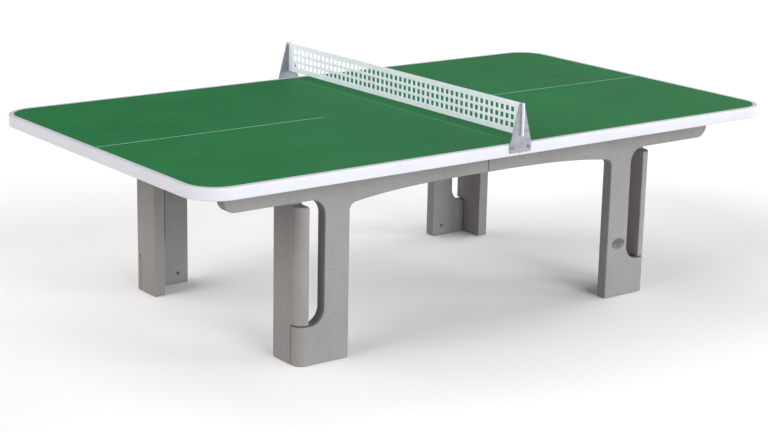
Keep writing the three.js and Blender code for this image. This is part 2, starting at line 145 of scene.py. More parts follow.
# bolts
BOLT = {"head_height": 0.006, "shank_radius": 0.005}
BRACKET_BOLT = {"head_height": 0.005, "shank_radius": 0.004}
WASHER_SHARE = 0.25              # washer to the height of the head
WASHER_FACE_SHARE = 0.97         # flat face to the radius of the washer
WASHER_SIDE_SHARE = 0.80         # upright side to the height of the washer
SOCKET_SHARE = 0.42              # socket to the radius of the head
SOCKET_DEPTH_SHARE = 0.55        # socket to the height of the head
CROWN_SHARE = 0.55               # flat crown to the radius of the head
DOME_SHARE = 0.90                # foot of the dome to the radius of the head
DOME_STEPS = 6
BOLT_STEPS = 36

# threaded inserts in the legs
ANCHOR_BORE = 0.0043
ANCHOR_CHAMFER = 0.0005
ANCHOR_MOUTH = 0.0009            # widening of the bore at its mouth
ANCHOR_STEPS = 28
HOLE_STEPS = 8
THREAD_PITCH = 0.00175
THREAD_DEPTH = 0.0005

# badge, whose section is in shares of its half length and of its thickness
BADGE_SECTION = [
    (0, 0.5),
    (0.80, 0.5),
    (0.84, 0.92),
    (0.87, 1),
    (0.95, 1),
    (0.99, 0.8),
    (1, 0.5),
    (1, 0),
    (0, 0),
]
BADGE_STEPS = 64
BADGE_BARS = {-1: 0.42, 0: 0.62, 1: 0.50}   # row, and length as a share of the badge's
BADGE_BAR_PITCH = 0.21                      # these two as shares of the badge's height
BADGE_BAR_HEIGHT = 0.11
BADGE_BAR_FOOT = 0.5                        # these two as shares of its thickness
BADGE_BAR_TOP = 0.85
BADGE_BAR_ROUND = 0.9                       # rounding to half the bar's height
BADGE_BAR_STEPS = 5

# ---------------------------------------------------------------- studio settings
CAMERA_PLACE = (-4.4015, -5.7500, 2.2422)
CAMERA_YAW = math.radians(37.149)           # from +Y towards +X
CAMERA_PITCH = math.radians(14.944)         # below level
CAMERA_ROLL = math.radians(1.177)
CAMERA_LENS = 86.17                         # millimetres, as is the sensor
CAMERA_SENSOR = 36
CAMERA_REACH = 200

FLOOR_HALF_SIZE = 60
FLOOR_TOP = -0.0005
FLOOR_BOTTOM = -0.02
FLOOR_COLOUR = (0.88, 0.88, 0.88, 1.0)
SURROUNDINGS = (0.07, 0.07, 0.075, 1.0)

COOL = (0.97, 1.0, 1.035)
WARM = (1.02, 0.995, 0.985)
LIGHT_SPREAD = math.radians(35)

# azimuth from +Y towards +X and elevation in degrees, irradiance over pi, colour
SOFT_LIGHTS = {
    "front_right_low": (135, 8, 0.78, COOL),
    "front_low": (180, 8, 0.55, COOL),
    "front": (180, 30, 0.37, COOL),
    "right": (90, 30, 0.36, WARM),
    "left": (270, 30, 0.60, WARM),
    "left_low": (250, 4, 0.07, WARM),
    "rear_left": (315, 30, 0.28, WARM),
    "rear_high": (0, 55, 0.20, WARM),
    "rear_right_low": (50, 12, 0.05, WARM),
}


# ---------------------------------------------------------------- outlines
def quarter(steps):
    """Cosines and sines at even steps over a quarter turn."""
    angles = [math.pi / 2 * step / steps for step in range(steps + 1)]
    return [(math.cos(angle), math.sin(angle)) for angle in angles]


def outline(corners, steps):
    """Points of a closed outline through corners (x, y, radius), rounded by their radii."""
    points = []
    count = len(corners)
    for i, (x, y, radius) in enumerate(corners):
        corner = Vector((x, y))
        if radius == 0:
            points.append(corner)
            continue
        back = (Vector(corners[i - 1][:2]) - corner).normalized()
        ahead = (Vector(corners[(i + 1) % count][:2]) - corner).normalized()
        half_angle = back.angle(ahead) / 2
        reach = radius / math.tan(half_angle)
        centre = corner + (back + ahead).normalized() * (radius / math.sin(half_angle))
        start = corner + back * reach - centre
        turn = math.pi - 2 * half_angle
        if back.cross(ahead) > 0:
            turn = -turn
        for step in range(steps + 1):
            spoke = start.copy()
            spoke.rotate(Matrix.Rotation(turn * step / steps, 2))
            points.append(centre + spoke)
    return points


def rectangle(half_width, low, high, rounding):
    """Corners of an upright rectangle about x = 0, all with the same rounding."""
    return [
        (-half_width, low, rounding),
        (half_width, low, rounding),
        (half_width, high, rounding),
        (-half_width, high, rounding),
    ]


def circle(radius):
    """Corners of a square, rounded just short of fully, so that no two points coincide."""
    return rectangle(radius, -radius, radius, radius * ALMOST_ALL)


# ---------------------------------------------------------------- meshes
def to_mesh(bm):
    """The finished mesh of a bmesh, with its faces outward."""
    bmesh.ops.recalc_face_normals(bm, faces=bm.faces)
    mesh = bpy.data.meshes.new("shape")
    bm.to_mesh(mesh)
    bm.free()
    return mesh


def prism(points, low, high, axis="Z"):
    """Mesh of a closed outline extruded between two heights along X, Y or Z."""
    place = {
        "X": lambda u, v, w: (w, u, v),
        "Y": lambda u, v, w: (u, w, v),
        "Z": lambda u, v, w: (u, v, w),
    }[axis]
    bm = bmesh.new()
    bottom = [bm.verts.new(place(u, v, low)) for u, v in points]
    top = [bm.verts.new(place(u, v, high)) for u, v in points]
    bm.faces.new(bottom)
    bm.faces.new(top)
    for i in range(len(points)):
        j = (i + 1) % len(points)
        bm.faces.new((bottom[i], bottom[j], top[j], top[i]))
    return to_mesh(bm)


def block(low, high):
    """Box mesh between two corners."""
    (x0, y0, z0), (x1, y1, z1) = low, high
    return prism([(x0, y0), (x1, y0), (x1, y1), (x0, y1)], z0, z1)


def lathe(profile, steps):
    """Mesh turned about +Z from (radius, height) pairs; a third value makes the ring a hexagon."""
    bm = bmesh.new()
    rings = []
    for radius, height, *hexagonal in profile:
        if radius == 0:
            rings.append([bm.verts.new((0, 0, height))])
            continue
        ring = []
        for step in range(steps):
            angle = 2 * math.pi * step / steps
            reach = radius
            if hexagonal:
                from_flat = (angle + math.pi / 6) % (math.pi / 3) - math.pi / 6
                reach /= math.cos(from_flat)
            point = (reach * math.cos(angle), reach * math.sin(angle), height)
            ring.append(bm.verts.new(point))
        rings.append(ring)
    for lower, upper in zip(rings, rings[1:]):
        for i in range(steps):
            j = (i + 1) % steps
            below = [lower[i % len(lower)], lower[j % len(lower)]]
            above = [upper[j % len(upper)], upper[i % len(upper)]]
            bm.faces.new(list(dict.fromkeys(below + above)))
    return to_mesh(bm)


def moved(mesh, matrix):
    """A copy of the mesh under a matrix, with its faces kept outward."""
    copy = mesh.copy()
    copy.transform(matrix)
    if matrix.determinant() < 0:
        copy.flip_normals()
    return copy


def mirrored(mesh, sign_x, sign_y):
    """The mesh, drawn in the rear right place, in the place with these signs of X and Y."""
    return moved(mesh, Matrix.Diagonal((sign_x, sign_y, 1, 1)))


def pointed(mesh, point, direction):
    """The mesh with its +Z turned to a direction and its origin moved to a point."""
    turn = Vector((0, 0, 1)).rotation_difference(Vector(direction)).to_matrix().to_4x4()
    return moved(mesh, Matrix.Translation(point) @ turn)


def carved(mesh, cutters):
    """The mesh with the cutter meshes taken out of it."""
    link = bpy.context.scene.collection.objects.link
    body = bpy.data.objects.new("body", mesh)
    link(body)
    tools = []
    for cutter in cutters:
        tool = bpy.data.objects.new("tool", cutter)
        link(tool)
        tools.append(tool)
        cut = body.modifiers.new("cut", "BOOLEAN")
        cut.operation = "DIFFERENCE"
        cut.solver = "EXACT"
        cut.object = tool
    graph = bpy.context.evaluated_depsgraph_get()
    result = bpy.data.meshes.new_from_object(body.evaluated_get(graph))
    for leftover in [body, *tools]:
        bpy.data.objects.remove(leftover)
    return result


# ---------------------------------------------------------------- materials
def tinted(colour, factor):
    """The colour, darker or lighter by a factor."""
    return tuple(channel * factor for channel in colour)


class Shader:
    """A Principled material with short calls for the procedural textures that feed it."""

    def __init__(self, roughness, metallic=0.0, specular=0.5):
        self.material = bpy.data.materials.new("finish")
        self.material.use_nodes = True
        self.tree = self.material.node_tree
        self.surface = self.tree.nodes["Principled BSDF"]
        self.surface.inputs["Roughness"].default_value = roughness
        self.surface.inputs["Metallic"].default_value = metallic
        self.surface.inputs["Specular IOR Level"].default_value = specular
        self.place = self.tree.nodes.new("ShaderNodeTexCoord").outputs["Object"]

    def link(self, source, socket):
        """Feeds a socket from another socket, or sets it to a plain value."""
        if isinstance(source, bpy.types.NodeSocket):
            self.tree.links.new(source, socket)
        else:
            socket.default_value = source

    def stretched(self, scale):
        """The place on the object, scaled along X, Y and Z."""
        node = self.tree.nodes.new("ShaderNodeMapping")
        node.inputs["Scale"].default_value = scale
        self.link(self.place, node.inputs["Vector"])
        return node.outputs["Vector"]

    def along(self, axis):
        """The place on the object along X, Y or Z."""
        node = self.tree.nodes.new("ShaderNodeSeparateXYZ")
        self.link(self.place, node.inputs[0])
        return node.outputs[axis]

    def noise(self, scale, detail=3.0, roughness=0.55, place=None):
        """Noise value, from 0 to 1."""
        node = self.tree.nodes.new("ShaderNodeTexNoise")
        node.inputs["Scale"].default_value = scale
        node.inputs["Detail"].default_value = detail
        node.inputs["Roughness"].default_value = roughness
        self.link(place or self.place, node.inputs["Vector"])
        return node.outputs[0]

    def cells(self, scale, output="Distance"):
        """Distance to the nearest of many scattered points, or that point's random colour."""
        node = self.tree.nodes.new("ShaderNodeTexVoronoi")
        node.inputs["Scale"].default_value = scale
        self.link(self.place, node.inputs["Vector"])
        return node.outputs[output]

    def math(self, operation, first, second=0.0):
        """Result of a named operation on two sockets or values."""
        node = self.tree.nodes.new("ShaderNodeMath")
        node.operation = operation
        self.link(first, node.inputs[0])
        self.link(second, node.inputs[1])
        return node.outputs[0]

    def blend(self, *weighted):
        """Sum of (socket, weight) pairs."""
        terms = [self.math("MULTIPLY", socket, weight) for socket, weight in weighted]
        total = terms[0]
        for term in terms[1:]:
            total = self.math("ADD", total, term)
        return total

    def spread(self, value, low, high, out_low=0.0, out_high=1.0):
        """Maps low..high to out_low..out_high, clamped."""
        node = self.tree.nodes.new("ShaderNodeMapRange")
        self.link(value, node.inputs["Value"])
        names = ("From Min", "From Max", "To Min", "To Max")
        for name, number in zip(names, (low, high, out_low, out_high)):
            node.inputs[name].default_value = number
        return node.outputs["Result"]

    def ramp(self, value, *stops):
        """Colour ramp through (position, (r, g, b)) stops."""
        node = self.tree.nodes.new("ShaderNodeValToRGB")
        elements = node.color_ramp.elements
        while len(elements) < len(stops):
            elements.new(0.5)
        for element, (position, colour) in zip(elements, stops):
            element.position = position
            element.color = (*colour, 1.0)
        self.link(value, node.inputs["Fac"])
        return node.outputs["Color"]

    def shades(self, value, colour, *stops):
        """Ramp through shades of one colour, from (position, factor) stops."""
        return self.ramp(value, *((position, tinted(colour, factor)) for position, factor in stops))

    def mix(self, factor, first, second):
        """Blends two colours, sockets or (r, g, b), by a factor."""
        node = self.tree.nodes.new("ShaderNodeMix")
        node.data_type = "RGBA"
        self.link(factor, node.inputs[0])
        inputs = [socket for socket in node.inputs if socket.type == "RGBA"]
        for socket, colour in zip(inputs, (first, second)):
            is_socket = isinstance(colour, bpy.types.NodeSocket)
            self.link(colour if is_socket else (*colour, 1.0), socket)
        return next(socket for socket in node.outputs if socket.type == "RGBA")

    def colour(self, source):
        """Sets the colour of the finish."""
        self.link(source, self.surface.inputs["Base Color"])

    def roughness(self, source):
        """Sets the roughness of the finish."""
        self.link(source, self.surface.inputs["Roughness"])

    def bump(self, height, distance, strength=1.0):
        """Raises the finish by a height of 0 to 1 times a distance in metres."""
        node = self.tree.nodes.new("ShaderNodeBump")
        node.inputs["Strength"].default_value = strength
        node.inputs["Distance"].default_value = distance
        self.link(height, node.inputs["Height"])
        self.link(node.outputs["Normal"], self.surface.inputs["Normal"])


def concrete(colour, relief_depth=0.0009):
    """Fair-faced polymer concrete: cloudy patches, fine speckle, small pores."""
    shader = Shader(roughness=0.85, specular=0.25)
    patches = shader.noise(scale=1.6, detail=2.0)
    clouds = shader.noise(scale=8.0, detail=4.0, roughness=0.6)
    streaks = shader.noise(scale=5.0, place=shader.stretched((5.0, 5.0, 0.8)))
    speckle = shader.noise(scale=150.0, detail=2.0, roughness=0.7)
    grit = shader.noise(scale=520.0, detail=2.0, roughness=0.6)
    tone = shader.blend(
        (patches, 0.22),
        (clouds, 0.22),
        (streaks, 0.12),
        (speckle, 0.26),
        (grit, 0.18),
    )
    cloudy = shader.shades(tone, colour, (0.36, 0.84), (0.50, 1.0), (0.64, 1.15))
    pores = shader.spread(shader.cells(scale=75.0), 0.10, 0.22, 1.0, 0.0)
    sparse = shader.spread(shader.noise(scale=28.0, detail=1.0), 0.56, 0.66)
    pits = shader.math("MULTIPLY", pores, sparse)
    # the pores are drawn darker: painted shade inside them, on top of the bump that sinks them
    shader.colour(shader.mix(pits, cloudy, tinted(colour, 0.62)))
    shader.roughness(shader.spread(clouds, 0.3, 0.7, 0.78, 0.92))
    relief = shader.blend((grit, 0.35), (speckle, 0.65), (pits, -2.2))
    shader.bump(relief, relief_depth, strength=0.6)
    return shader.material


def coating(colour, worn_and_highlight_colour):
    """Weatherproof table coating: satin, faintly cloudy, with paler edges along the seam, painted
    as worn paint and as the highlight that the seam's edges catch.
    """
    shader = Shader(roughness=0.50, specular=0.025)
    patches = shader.noise(scale=1.3)
    clouds = shader.noise(scale=7.0, detail=4.0, roughness=0.6)
    grain = shader.noise(scale=240.0, detail=2.0)
    tone = shader.blend((patches, 0.45), (clouds, 0.35), (grain, 0.20))
    cloudy = shader.shades(tone, colour, (0.38, 0.88), (0.50, 1.0), (0.62, 1.13))
    # painted highlight along the seam, with worn paint: the colour turns paler within a few
    # millimetres of it
    from_seam = shader.math("ABSOLUTE", shader.along("X"))
    wear = shader.spread(from_seam, SEAM_WEAR_AND_HIGHLIGHT_WIDTH / 2, SEAM_WEAR_AND_HIGHLIGHT_WIDTH, 1.0, 0.0)
    shader.colour(shader.mix(wear, cloudy, worn_and_highlight_colour))
    shader.roughness(shader.spread(clouds, 0.3, 0.7, 0.44, 0.56))
    shader.bump(shader.noise(scale=700.0, detail=2.0), 0.00012, strength=0.5)
    return shader.material


def satin_paint(colour, roughness):
    """Even satin paint with slight handling marks."""
    shader = Shader(roughness, specular=0.4)
    smears = shader.noise(scale=6.0, detail=4.0, roughness=0.6)
    grain = shader.noise(scale=90.0, detail=2.0)
    marks = shader.blend((smears, 0.6), (grain, 0.4))
    shader.colour(shader.shades(marks, colour, (0.36, 0.94), (0.52, 1.0)))
    shader.roughness(shader.spread(marks, 0.3, 0.7, roughness - 0.05, roughness + 0.08))
    shader.bump(shader.noise(scale=480.0, detail=2.0), 0.00010, strength=0.4)
    return shader.material


def dull_metal(colour, metallic, contrast):
    """Zinc or a grey coat on steel: dull spangles with a cloudy bloom over them."""
    shader = Shader(roughness=0.5, metallic=metallic)
    spangle = shader.cells(scale=85.0, output="Color")
    bloom = shader.noise(scale=30.0, detail=4.0, roughness=0.6)
    tone = shader.blend((spangle, 0.30), (bloom, 0.70))
    stops = (0.30, 1 - contrast), (0.50, 1.0), (0.70, 1 + contrast)
    shader.colour(shader.shades(tone, colour, *stops))
    shader.roughness(shader.spread(tone, 0.3, 0.7, 0.42, 0.62))
    shader.bump(bloom, 0.0003, strength=0.35)
    return shader.material


def fastener_steel(colour):
    """Weathered steel, uneven in tone and shine."""
    shader = Shader(roughness=0.42, metallic=0.85)
    wear = shader.noise(scale=260.0)
    shader.colour(shader.shades(wear, colour, (0.38, 0.7), (0.62, 1.4)))
    shader.roughness(shader.spread(wear, 0.3, 0.7, 0.34, 0.58))
    shader.bump(wear, 0.0002, strength=0.4)
    return shader.material


def rubber(dark, light):
    """Matt rubber with a fine grain."""
    shader = Shader(roughness=0.85, specular=0.3)
    grain = shader.noise(scale=340.0)
    shader.colour(shader.ramp(grain, (0.4, dark), (0.62, light)))
    shader.bump(grain, 0.0004, strength=0.6)
    return shader.material


MATERIALS = {
    "base_concrete": concrete((0.209, 0.204, 0.192)),
    # the base concrete tinted warmer: painted warm light on the end frames' faces
    "end_concrete_warm_light": concrete((0.214, 0.201, 0.191)),
    "slab_concrete": concrete((0.26, 0.252, 0.24), relief_depth=0.0006),
    # the paler second colour is the seam's painted highlight and worn paint
    "green_coating": coating((0.020, 0.140, 0.046), worn_and_highlight_colour=(0.055, 0.22, 0.10)),
    "white_edge": satin_paint((0.485, 0.485, 0.520), roughness=0.42),
    "line_paint": satin_paint((0.42, 0.68, 0.50), roughness=0.5),
    "net_steel": dull_metal((0.71, 0.765, 0.81), metallic=0.1, contrast=0.05),
    "galvanised_steel": dull_metal((0.225, 0.228, 0.255), metallic=0.45, contrast=0.22),
    "bolt_steel": fastener_steel((0.26, 0.255, 0.28)),
    "rubber": rubber(dark=(0.016, 0.016, 0.017), light=(0.035, 0.035, 0.036)),
    "badge_metal": dull_metal((0.105, 0.107, 0.118), metallic=0.4, contrast=0.10),
    "badge_ink": satin_paint((0.060, 0.060, 0.068), roughness=0.5),
}
for material_name, material in MATERIALS.items():
    material.name = material_name


# ---------------------------------------------------------------- pieces
def add_piece(name, mesh, slot, nodes, edge_round=0.0, body="table", segments=3, finish=None):
    """Adds a mesh as a shown piece that replaces its CAD nodes.

    Its material is its slot's, unless another is named as its finish.
    """
    mesh.name = name
    mesh.materials.clear()
    mesh.materials.append(MATERIALS[finish or slot])
    mesh.shade_smooth()
    piece = bpy.data.objects.new(name, mesh)
    bpy.context.scene.collection.objects.link(piece)
    if edge_round > 0:
        bevel = piece.modifiers.new("edge_round", "BEVEL")
        bevel.width = edge_round
        bevel.segments = segments
        bevel.limit_method = "ANGLE"
        bevel.angle_limit = BEVEL_ANGLE
        bevel.use_clamp_overlap = False
        normals = piece.modifiers.new("flat_faces", "WEIGHTED_NORMAL")
        normals.keep_sharp = True
    else:
        mesh.set_sharp_from_angle(angle=BEVEL_ANGLE)
    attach(piece, body)
    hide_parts(*nodes)


def add_copies(name, places, mesh, slot, edge_round=0.0, finish=None):
    """Adds a piece at each of its mirrored places, each replacing the CAD node there."""
    for place, signs in places.items():
        node = f"{name}_{place}"
        copy = mirrored(mesh, *signs)
        add_piece(f"{node}_visual", copy, slot, [node], edge_round, finish=finish)


# ---------------------------------------------------------------- tabletop
def half_outline(inset, seam):
    """Open outline of the right half of the top, from the rear seam round to the front."""
    x = RIM_HIGH.x - inset
    y = RIM_HIGH.y - inset
    radius = CORNER_RADIUS - inset
    corners = [(seam, y, 0), (x, y, radius), (x, -y, radius), (seam, -y, 0)]
    return outline(corners, CORNER_STEPS)


def edge_rim_mesh():
    """White band: its section follows the edge of the top from seam to seam."""
    low, high = RIM_LOW.z, RIM_HIGH.z
    section = [(RIM_WIDTH, low), (RIM_WIDTH, high)]
    for cosine, sine in quarter(RIM_EDGE_STEPS):
        section.append((RIM_EDGE_ROUND * (1 - sine), high - RIM_EDGE_ROUND * (1 - cosine)))
    for cosine, sine in quarter(RIM_EDGE_STEPS):
        section.append((RIM_EDGE_ROUND * (1 - cosine), low + RIM_EDGE_ROUND * (1 - sine)))
    bm = bmesh.new()
    loops = []
    for inset, z in section:
        loops.append([bm.verts.new((x, y, z)) for x, y in half_outline(inset, RIM_LOW.x)])
    for loop, following in zip(loops, loops[1:] + loops[:1]):
        for i in range(len(loop) - 1):
            bm.faces.new((loop[i], loop[i + 1], following[i + 1], following[i]))
    bm.faces.new([loop[0] for loop in loops])
    bm.faces.new([loop[-1] for loop in loops])
    return to_mesh(bm)


def playing_surface_mesh():
    """Green layer of the right half, with a groove where the centre line is inlaid."""
    inset = RIM_WIDTH + FIT_GAP / 2
    x = RIM_HIGH.x - inset
    y = RIM_HIGH.y - inset
    radius = CORNER_RADIUS - inset
    groove = LINE_HIGH.y + FIT_GAP / 2
    groove_end = LINE_LOW.x - FIT_GAP
    corners = [
        (SEAM_GAP / 2, -y, 0),
        (x, -y, radius),
        (x, -groove, 0),
        (groove_end, -groove, 0),
        (groove_end, groove, 0),
        (x, groove, 0),
        (x, y, radius),
        (SEAM_GAP / 2, y, 0),
    ]
    return prism(outline(corners, CORNER_STEPS), SURFACE_LOW.z, SURFACE_HIGH.z)


# ---------------------------------------------------------------- base
def arch_height(x):
    """Underside of a side beam at a distance from the middle of the table."""
    return ARCH_CROWN - ARCH_DROP * (x / LEG_INNER_X) ** ARCH_POWER


def corner_cutter(low, high):
    """Cutter that rounds the upright outer corner of the base between two heights."""
    x = END_HIGH.x - OUTER_CORNER_ROUND
    y = SIDE_HIGH.y - OUTER_CORNER_ROUND
    past_x = END_HIGH.x + CUTTER_PAST
    past_y = SIDE_HIGH.y + CUTTER_PAST
    points = [(x, past_y), (past_x, past_y), (past_x, y)]
    for cosine, sine in quarter(OUTER_CORNER_STEPS):
        points.append((x + OUTER_CORNER_ROUND * cosine, y + OUTER_CORNER_ROUND * sine))
    return prism(points, low - CUTTER_PAST, high + CUTTER_PAST)


def anchor_hole():
    """Cutter for the hole that an insert sits in, from the inner face of a leg."""
    centre = (ANCHOR_LOW + ANCHOR_HIGH) / 2
    radius = (ANCHOR_HIGH.x - ANCHOR_LOW.x) / 2 + FIT_GAP
    depth = ANCHOR_HIGH.y - SIDE_LOW.y + CUTTER_PAST
    plug = prism(outline(circle(radius), HOLE_STEPS), -CUTTER_PAST, depth)
    return pointed(plug, (centre.x, SIDE_LOW.y, centre.z), (0, 1, 0))


def side_frame_mesh():
    """Half side frame: cantilever, arched beam, leg, slot and foot."""
    # the arch leaves its last step before the leg to the fillet
    arch = []
    for step in range(ARCH_STEPS - 2, 0, -1):
        x = LEG_INNER_X * step / ARCH_STEPS
        arch.append((x, arch_height(x), 0))
    corners = [
        (SIDE_LOW.x, SIDE_HIGH.z, 0),
        (SIDE_HIGH.x, SIDE_HIGH.z, 0),
        (SIDE_HIGH.x, BEAM_BOTTOM, CANTILEVER_CORNER_RADIUS),
        (LEG_SLOT_X, BEAM_BOTTOM, SLOT_CORNER_RADIUS),
        (LEG_SLOT_X, FOOT_HEIGHT, SLOT_CORNER_RADIUS),
        (END_HIGH.x, FOOT_HEIGHT, 0),
        (END_HIGH.x, 0, 0),
        (LEG_INNER_X, 0, FOOT_CORNER_ROUND),
        (LEG_INNER_X, arch_height(LEG_INNER_X), ARCH_FILLET),
        *arch,
        (SIDE_LOW.x, ARCH_CROWN, 0),
    ]
    panel = prism(outline(corners, PANEL_STEPS), SIDE_LOW.y, SIDE_HIGH.y, "Y")
    return carved(panel, [corner_cutter(0, FOOT_HEIGHT), anchor_hole()])


def end_frame_mesh():
    """Portal of two tabbed legs under a cross beam."""
    notch = SIDE_LOW.y - NOTCH_GAP
    rear_half = [
        (notch, END_HIGH.z, 0),
        (notch, TAB_TOP, NOTCH_ROUND),
        (END_HIGH.y, TAB_TOP, TAB_TOP_ROUND),
        (END_HIGH.y, TAB_BOTTOM, TAB_BOTTOM_ROUND),
        (notch, TAB_BOTTOM, NOTCH_ROUND),
        (notch, 0, FOOT_CORNER_ROUND),
        (END_LEG_INNER_Y, 0, FOOT_CORNER_ROUND),
        (END_LEG_INNER_Y, END_BEAM_BOTTOM, END_ARCH_RADIUS),
    ]
    front_half = [(-y, z, radius) for y, z, radius in reversed(rear_half)]
    panel = prism(outline(rear_half + front_half, PANEL_STEPS), END_LOW.x, END_HIGH.x, "X")
    cutter = corner_cutter(TAB_BOTTOM, TAB_TOP)
    return carved(panel, [cutter, mirrored(cutter, 1, -1)])


def corner_bracket_mesh():
    """Corner piece with three walls, open downward and towards the middle of the table."""
    inner = CORNER_HIGH - Vector((CORNER_WALL, CORNER_WALL, CORNER_WALL))
    past = CORNER_LOW - Vector((CUTTER_PAST, CUTTER_PAST, CUTTER_PAST))
    return carved(block(CORNER_LOW, CORNER_HIGH), [block(past, inner)])


def splice_plate_mesh():
    """Flat plate with rounded corners across the seam of a side frame."""
    corners = rectangle(SPLICE_HIGH.x, SPLICE_LOW.z, SPLICE_HIGH.z, SPLICE_ROUND)
    return prism(outline(corners, PLATE_STEPS), SPLICE_LOW.y, SPLICE_HIGH.y, "Y")


# ---------------------------------------------------------------- net
class Sheet:
    """A flat mesh in the Y-Z plane, whose faces share the vertices where they meet."""

    def __init__(self):
        self.bm = bmesh.new()
        self.known = {}

    def vert(self, y, z):
        """The vertex at a place, made on first use."""
        key = (round(y, 6), round(z, 6))
        if key not in self.known:
            self.known[key] = self.bm.verts.new((0, y, z))
        return self.known[key]

    def face(self, *points):
        """Adds a face through (y, z) points."""
        self.bm.faces.new([self.vert(y, z) for y, z in points])

    def thickened(self, low, high):
        """The closed mesh of the sheet between two heights along X."""
        bmesh.ops.recalc_face_normals(self.bm, faces=self.bm.faces)
        bmesh.ops.solidify(self.bm, geom=self.bm.faces[:], thickness=high - low)
        shift = low - min(v.co.x for v in self.bm.verts)
        bmesh.ops.translate(self.bm, verts=self.bm.verts, vec=(shift, 0, 0))
        return to_mesh(self.bm)


def centred(count, pitch):
    """Places of evenly spaced things about zero."""
    return [(i - (count - 1) / 2) * pitch for i in range(count)]


def add_border(sheet, columns, rows):
    """Plain margin round the cells of the net, with a vertex wherever a cell has one."""
    flat = NET_HOLE / 2 - NET_HOLE_ROUND

    def grid_lines(centres, low, high):
        """Places of the vertices along one side of the net."""
        lines = [low]
        for centre in centres:
            lines += [centre - NET_PITCH / 2, centre - flat, centre + flat]
        return lines + [centres[-1] + NET_PITCH / 2, high]

    y_lines = grid_lines(columns, NET_LOW.y, NET_HIGH.y)
    z_lines = grid_lines(rows, NET_LOW.z, NET_HIGH.z)
    last_i, last_j = len(y_lines) - 2, len(z_lines) - 2
    for i in range(last_i + 1):
        for j in range(last_j + 1):
            if i in (0, last_i) or j in (0, last_j):
                y0, y1 = y_lines[i:i + 2]
                z0, z1 = z_lines[j:j + 2]
                sheet.face((y0, z0), (y1, z0), (y1, z1), (y0, z1))


def add_cell(sheet, y, z):
    """One cell of the net: a square hole with rounded corners and the bars round it."""
    half = NET_HOLE / 2
    flat = half - NET_HOLE_ROUND
    pitch = NET_PITCH / 2
    bends = [
        (flat + NET_HOLE_ROUND * cosine, flat + NET_HOLE_ROUND * sine)
        for cosine, sine in quarter(NET_HOLE_STEPS)
    ]
    side, corner, top = (pitch, flat), (pitch, pitch), (flat, pitch)
    faces = [
        (bends[0], side, corner, bends[1]),
        (bends[1], corner, bends[2]),
        (bends[2], corner, top, bends[3]),
        ((half, -flat), (pitch, -flat), side, bends[0]),
    ]
    for quarter_turn in range(4):
        turn = Matrix.Rotation(math.pi / 2 * quarter_turn, 2)
        for face in faces:
            spots = [turn @ Vector(point) for point in face]
            sheet.face(*((y + spot.x, z + spot.y) for spot in spots))


def net_mesh():
    """Perforated sheet: rows of square holes inside a plain margin."""
    middle = (NET_LOW.z + NET_HIGH.z) / 2
    columns = centred(NET_COLUMNS, NET_PITCH)
    rows = [middle + offset for offset in centred(NET_ROWS, NET_PITCH)]
    sheet = Sheet()
    add_border(sheet, columns, rows)
    for y in columns:
        for z in rows:
            add_cell(sheet, y, z)
    return sheet.thickened(NET_LOW.x, NET_HIGH.x)


def net_bracket_mesh():
    """Tapered plate on the rear edge of the top, with an open-topped slot."""
    right = [
        (BRACKET_HIGH.x, BRACKET_LOW.z, BRACKET_BASE_ROUND),
        (BRACKET_HIGH.x, BRACKET_SHOULDER, BRACKET_SHOULDER_ROUND),
        (BRACKET_HALF_TIP, BRACKET_HIGH.z, BRACKET_TIP_ROUND),
        (LEAD_IN_WIDTH / 2, BRACKET_HIGH.z, 0),
        (BRACKET_SLOT_WIDTH / 2, BRACKET_HIGH.z - LEAD_IN_DEPTH, 0),
        (BRACKET_SLOT_WIDTH / 2, NET_LOW.z - FIT_GAP, 0),
    ]
    left = [(-x, z, radius) for x, z, radius in reversed(right)]
    return prism(outline(right + left, PLATE_STEPS), BRACKET_LOW.y, BRACKET_HIGH.y, "Y")


# ---------------------------------------------------------------- fasteners
def bolt_mesh(head_radius, head_height, shank_radius, length):
    """Button-head bolt on a washer: head below z = 0, shank above, with a hexagon socket."""
    washer = head_height * WASHER_SHARE
    socket = head_radius * SOCKET_SHARE
    socket_floor = head_height * SOCKET_DEPTH_SHARE - head_height
    profile = [(0, socket_floor), (socket, socket_floor, True), (socket, -head_height, True)]
    for cosine, sine in quarter(DOME_STEPS):
        radius = head_radius * (CROWN_SHARE + (DOME_SHARE - CROWN_SHARE) * sine)
        profile.append((radius, -washer - (head_height - washer) * cosine))
    profile += [
        (head_radius * WASHER_FACE_SHARE, -washer),
        (head_radius, -washer * WASHER_SIDE_SHARE),
        (head_radius, 0),
        (shank_radius, 0),
        (shank_radius, length),
        (0, length),
    ]
    return lathe(profile, BOLT_STEPS)


def add_bolts(name, direction, head_height, shank_radius):
    """Bolts in all four quadrants, each as long as its CAD node along its direction."""
    low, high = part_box(f"{name}_rear_right")
    axis = max(range(3), key=lambda i: abs(direction[i]))
    size = high - low
    head_radius = size[(axis + 1) % 3] / 2
    length = size[axis] - head_height
    point = (low + high) / 2
    point[axis] = low[axis] + head_height if direction[axis] > 0 else high[axis] - head_height
    mesh = pointed(bolt_mesh(head_radius, head_height, shank_radius, length), point, direction)
    add_copies(name, QUADRANTS, mesh, "bolt_steel")


